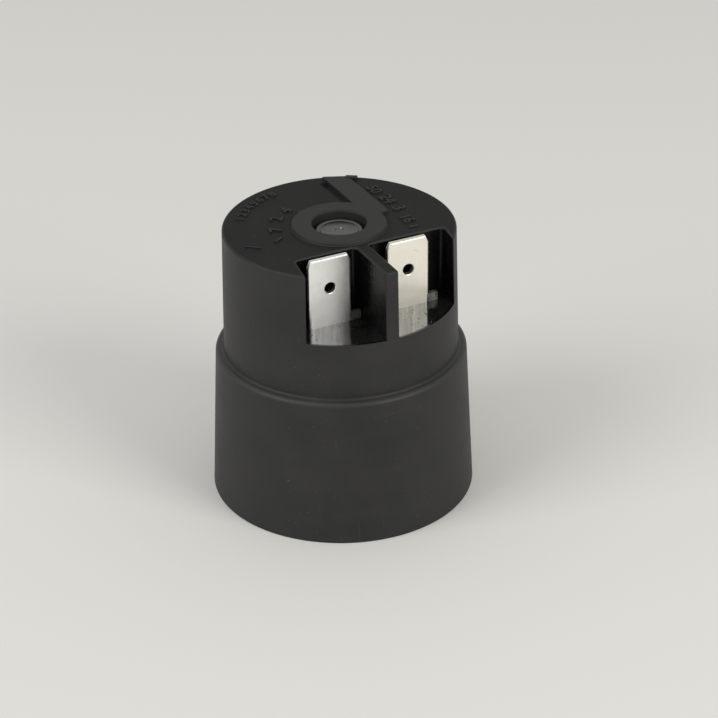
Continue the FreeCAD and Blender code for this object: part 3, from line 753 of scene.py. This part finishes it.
def bladePlate(name, middle, half):
    # the tab with nipped corners and bevelled edges: it is widened along X for the nips and along Y
    # for the bevels while they are cut, which makes both of them longer than they are wide
    centreY = (blade["front"] + blade["back"]) / 2 * mm
    squeeze = blade["bevelWide"] / blade["bevelDeep"]
    tall = blade["cutHigh"] / blade["cutWide"]
    tip = blade["tip"] * mm
    low = (blade["foot"] + 0.1) * mm
    piece = block(name, (middle - half, blade["front"], blade["foot"]),
                  (middle + half, blade["back"], blade["tip"]))
    edit(piece)
    pickAll()
    bpy.ops.transform.resize(value=(tall, 1, 1), center_override=(middle * mm, 0, 0))
    pick(piece, "EDGE", lambda a, b: near(a.z, tip) and near(b.z, tip) and near(a.x, b.x))
    bevelPicked(blade["cutHigh"], 1)
    pickAll()
    bpy.ops.transform.resize(value=(1 / tall, squeeze, 1), center_override=(middle * mm, centreY, 0))
    pick(piece, "EDGE", lambda a, b: near(a.y, b.y) and max(a.z, b.z) > low)
    bevelPicked(blade["bevelWide"], 3)
    pickAll()
    bpy.ops.transform.resize(value=(1, 1 / squeeze, 1), center_override=(0, centreY, 0))
    leave()
    return piece


def drillBlade(piece, middle):
    # the detent hole, with a countersink on both faces
    size, flare = blade["hole"], blade["holeFlare"]
    land, face, over = blade["drillLand"], blade["drillFace"], blade["drillOver"]
    rings = [(size + 2 * flare, -over), (size + flare, -face), (size, -land), (size, land),
             (size + flare, face), (size + 2 * flare, over)]
    drill = tower("drill", rings, blade["holeSteps"])
    drill.rotation_euler = (math.radians(90), 0, 0)
    drill.location = (middle * mm, (blade["front"] + blade["back"]) / 2 * mm,
                      (blade["tip"] - blade["holeDrop"]) * mm)
    cutOrJoin(piece, settle(drill), "DIFFERENCE")


def makeBlade(word, side):
    middle = bladePlace(side)
    half = blade["width"] / 2
    front, back, foot = blade["front"], blade["back"], blade["foot"]
    piece = bladePlate("blade_" + word, middle, half)
    thin = blade["shoulderThin"]
    outer = middle + half + blade["shoulder"]
    shoulder = block("shoulderTool", (middle, front + thin, foot + thin),
                     (outer, back - thin, blade["shoulderTop"]), blade["ease"])
    cutOrJoin(piece, shoulder, "UNION")
    thin = blade["rootThin"]
    reach = blade["rootWidth"] / 2
    root = block("rootTool", (middle - reach, front + thin, blade["rootFoot"]),
                 (middle + reach, back - thin, foot + blade["rootLap"]), blade["ease"])
    cutOrJoin(piece, root, "UNION")
    drillBlade(piece, middle)
    smooth(piece, 25)
    finishPiece(piece, "terminal_" + word, tins[word])
    piece.data.materials.append(darkShoulder)
    # the faces beyond the blade's edge, the shoulder, are coloured dark and dull
    for face in piece.data.polygons:
        face.material_index = 1 if face.center.x > (middle + half + 0.01) * mm else 0


def makeResinPool(word, side):
    # the resin lies level round the foot of the blade
    piece = named(recessTool(side), "resin_" + word)
    middle = bladePlace(side)
    half = blade["width"] / 2
    gap = recess["gap"]
    under, over = head["floor"] - 2 * recess["over"], head["floor"] + recess["over"]
    slot = block("bladeSlot", (middle - half - gap, blade["front"] - gap, under),
                 (middle + half + blade["shoulder"] + gap, blade["back"] + gap, over))
    cutOrJoin(piece, slot, "DIFFERENCE")
    smooth(piece, 40)
    finishPiece(piece, "potting_" + word, resin)


# figures give the words, their size, place and turn; ticks and stud the place, length, width and turn
marks = {"high": 0.22, "bold": 0.03, "sunk": 0.02, "tickSunk": 0.04, "tickRound": 0.05,
         "studOver": 0.12, "scaleSize": 1.9, "scaleRadius": 13.9, "scaleFrom": 145, "scaleStep": -5.4,
         "scale": "12345678",
         "figures": (("4", 2.6, (-4.6, 7.5), 30), ("2", 2.6, (-6.9, 5.6), 55),
                     ("7", 2.6, (-8.4, 2.4), 75), ("50", 2.5, (9.4, 8.0), -90),
                     ("24", 2.7, (9.6, 4.2), -90), ("3", 2.7, (9.7, 0.9), -90),
                     ("16", 2.4, (9.1, -2.7), -90)),
         "ticks": ((8.9, -5.2, 1.4, 0.35, 0), (-9.4, -0.4, 1.6, 0.35, 30), (-13.4, -0.9, 2.4, 0.22, -40)),
         "stud": (8.3, 13.0, 1.7, 0.8, -32)}


def raisedText(words, size, x, y, turn):
    bpy.ops.object.text_add(location=(0, 0, 0))
    text = bpy.context.object
    text.data.body = words
    text.data.size = size * mm
    text.data.extrude = marks["high"] / 2 * mm
    text.data.offset = marks["bold"] * mm
    text.data.resolution_u = 3
    text.data.align_x = "CENTER"
    text.data.align_y = "CENTER"
    focus(text)
    bpy.ops.object.convert(target="MESH")
    text = bpy.context.object
    text.location = (x * mm, y * mm, (head["top"] + marks["high"] / 2 - marks["sunk"]) * mm)
    text.rotation_euler = (0, 0, math.radians(turn))
    return settle(text)


def raisedTick(x, y, length, width, turn, high=marks["high"]):
    bpy.ops.mesh.primitive_cube_add(size=1)
    tick = bpy.context.object
    tick.scale = (length * mm, width * mm, high * mm)
    bevelAll(settle(tick), marks["tickRound"])
    tick.location = (x * mm, y * mm, (head["top"] + high / 2 - marks["tickSunk"]) * mm)
    tick.rotation_euler = (0, 0, math.radians(turn))
    return settle(tick)


def makeMarks():
    # a plain number scale by the rim and the plain cavity numbers of the mould
    made = []
    for index, digit in enumerate(marks["scale"]):
        turn = marks["scaleFrom"] + marks["scaleStep"] * index
        angle = math.radians(turn)
        made.append(raisedText(digit, marks["scaleSize"], marks["scaleRadius"] * math.cos(angle),
                               marks["scaleRadius"] * math.sin(angle), turn - 90))
    for words, size, (x, y), turn in marks["figures"]:
        made.append(raisedText(words, size, x, y, turn))
    for tick in marks["ticks"]:
        made.append(raisedTick(*tick))
    made.append(raisedTick(*marks["stud"], high=padSize["high"] + marks["studOver"]))
    focus(made[0])
    for other in made:
        other.select_set(True)
    bpy.ops.object.join()
    piece = named(bpy.context.object, "scaleMarks")
    smooth(piece, 35)
    finishPiece(piece, None, moulding)


core = {"steps": 96, "foot": 19.0, "wide": 5.45, "stem": 3.55, "top": 39.6, "groove": 34.0,
        "section": 0.45, "grooveFloor": 2.72, "chamfer": 0.4, "dish": 2.75, "dishDeep": 0.1,
        "dishEase": 0.03, "pip": 0.5, "pipDeep": 0.12}


def makeCore():
    # the fixed core, with its end faced off in a shallow dish and a pip left by the centre drill
    low, high = core["groove"] - core["section"], core["groove"] + core["section"]
    stem, top, dish, pip = core["stem"], core["top"], core["dish"], core["pip"]
    sunk = top - core["dishDeep"]
    rings = [(core["wide"], core["foot"]), (core["wide"], head["cavityTop"]), (stem, head["cavityTop"]),
             (stem, low), (core["grooveFloor"], low), (core["grooveFloor"], high), (stem, high),
             (stem, top - core["chamfer"]), (stem - core["chamfer"], top),
             (dish + 0.1, top), (dish, top - core["dishEase"]), (dish - 0.12, sunk),
             (pip + 0.1, sunk), (pip, sunk - core["pipDeep"])]
    piece = tower("core", rings, core["steps"])
    smooth(piece, 30)
    finishPiece(piece, "fixed_core", dullSteel)


coil = {"radius": 2.0, "wire": 0.22, "wireSteps": 14, "turns": 6, "steps": 40, "foot": 12.74,
        "head": 18.61, "seat": 12.5, "stop": 18.85}


def makeSpring():
    # the return spring: in the valve its foot goes up with the plunger while its head stays under the
    # core; here it is one fixed shape
    bpy.ops.mesh.primitive_circle_add(vertices=coil["wireSteps"], radius=coil["wire"] * mm,
                                      rotation=(math.pi / 2, 0, 0),
                                      location=(coil["radius"] * mm, 0, coil["foot"] * mm))
    piece = named(settle(bpy.context.object), "returnSpring")
    screw = piece.modifiers.new("turns", "SCREW")
    screw.screw_offset = (coil["head"] - coil["foot"]) / coil["turns"] * mm
    screw.iterations = coil["turns"]
    screw.steps = coil["steps"]
    screw.render_steps = coil["steps"]
    bpy.ops.object.modifier_apply(modifier="turns")
    edit(piece)
    pickAll()
    bpy.ops.mesh.fill_holes(sides=0)
    leave()
    smooth(piece, 40)
    finishPiece(piece, "return_spring", springSteel, body=None)
    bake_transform(piece)
    print("spring:", len(piece.data.polygons), "faces")


makeCore()
makeSpring()
for word, side in (("left", -1), ("right", 1)):
    makeBlade(word, side)
    makeResinPool(word, side)
makeMarks()
print("blades, resin and marks made")


# lens and sensor in millimetres of film, distance and aim in millimetres, angles in degrees
view = {"lens": 113.886, "sensor": 36, "distance": 324.36, "aim": 18.893, "azimuth": -25.5,
        "elevation": 29.112, "yaw": 0.443, "roll": -0.997}


def makeCamera():
    # it looks at a point on the axis, then turns and rolls a little about its own axes
    turn = math.radians(view["azimuth"])
    rise = math.radians(view["elevation"])
    away = Vector((math.sin(turn) * math.cos(rise), -math.cos(turn) * math.cos(rise), math.sin(rise)))
    side = Vector((math.cos(turn), math.sin(turn), 0))
    upward = side.cross(-away)
    yaw, roll = math.radians(view["yaw"]), math.radians(view["roll"])
    ahead = -away * math.cos(yaw) + side * math.sin(yaw)
    right = side * math.cos(yaw) + away * math.sin(yaw)
    rightRolled = right * math.cos(roll) + upward * math.sin(roll)
    upRolled = -right * math.sin(roll) + upward * math.cos(roll)
    data = bpy.data.cameras.new("camera")
    data.lens = view["lens"]
    data.sensor_width = view["sensor"]
    data.clip_start = 0.01
    data.clip_end = 20
    camera = bpy.data.objects.new("camera", data)
    bpy.context.scene.collection.objects.link(camera)
    axes = Matrix((rightRolled, upRolled, -ahead)).transposed().to_4x4()
    spot = Vector((0, 0, view["aim"] * mm)) + away * view["distance"] * mm
    camera.matrix_world = Matrix.Translation(spot) @ axes
    bpy.context.scene.camera = camera


light = {"world": 0.52, "worldTint": (1.0, 0.995, 0.98, 1), "aim": (0, 0, 0.02),
         "leftBox": {"power": 2.2, "size": (0.4, 0.6), "spot": (-0.62, -0.05, 0.42), "tint": (1, 1, 1)},
         "frontBox": {"power": 2.1, "size": (0.36, 0.36), "spot": (0.28, -0.59, 0.4),
                      "tint": (1, 0.985, 0.95)}}


def softBox(name):
    box = light[name]
    data = bpy.data.lights.new(name, "AREA")
    data.shape = "RECTANGLE"
    data.size, data.size_y = box["size"]
    data.energy = box["power"]
    data.color = box["tint"]
    lamp = bpy.data.objects.new(name, data)
    bpy.context.scene.collection.objects.link(lamp)
    lamp.location = box["spot"]
    lamp.rotation_mode = "QUATERNION"
    lamp.rotation_quaternion = (Vector(light["aim"]) - Vector(box["spot"])).to_track_quat("-Z", "Y")


def makeStage():
    # the floor lies a hair below the base, so that the two don't share a plane
    bpy.ops.mesh.primitive_plane_add(size=4, location=(0, 0, -touch))
    floor = named(bpy.context.object, "sweep")
    floor.data.materials.append(makeFloor())
    world = bpy.data.worlds.new("studio")
    bpy.context.scene.world = world
    world.use_nodes = True
    background = world.node_tree.nodes["Background"]
    background.inputs[0].default_value = light["worldTint"]
    background.inputs[1].default_value = light["world"]
    softBox("leftBox")
    softBox("frontBox")
    bpy.context.scene.view_settings.view_transform = "Standard"


makeCamera()
makeStage()
print("camera and light made")


# materials for the pieces that keep their own shape
finishes = {
    "lead_left": copper, "lead_right": copper, "winding": copper,
    "winding_tape": tape, "bobbin": nylon,
    "guide_tube": stainless, "plunger": stainless, "inlet_screen": stainless,
    "residual_shim": brass, "valve_seat": brass,
    "base_plate": plated, "flux_can": plated, "lower_pole": plated, "upper_pole": plated,
    "poppet_seal": rubber, "inlet_ring": rubber, "outlet_ring": rubber, "seat_ring": rubber,
    "core_ring": rubber,
}
for node, material in finishes.items():
    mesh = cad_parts[node].data
    if not mesh.materials:
        mesh.materials.append(material)
    for index in range(len(mesh.materials)):
        mesh.materials[index] = material
print("finishes assigned")
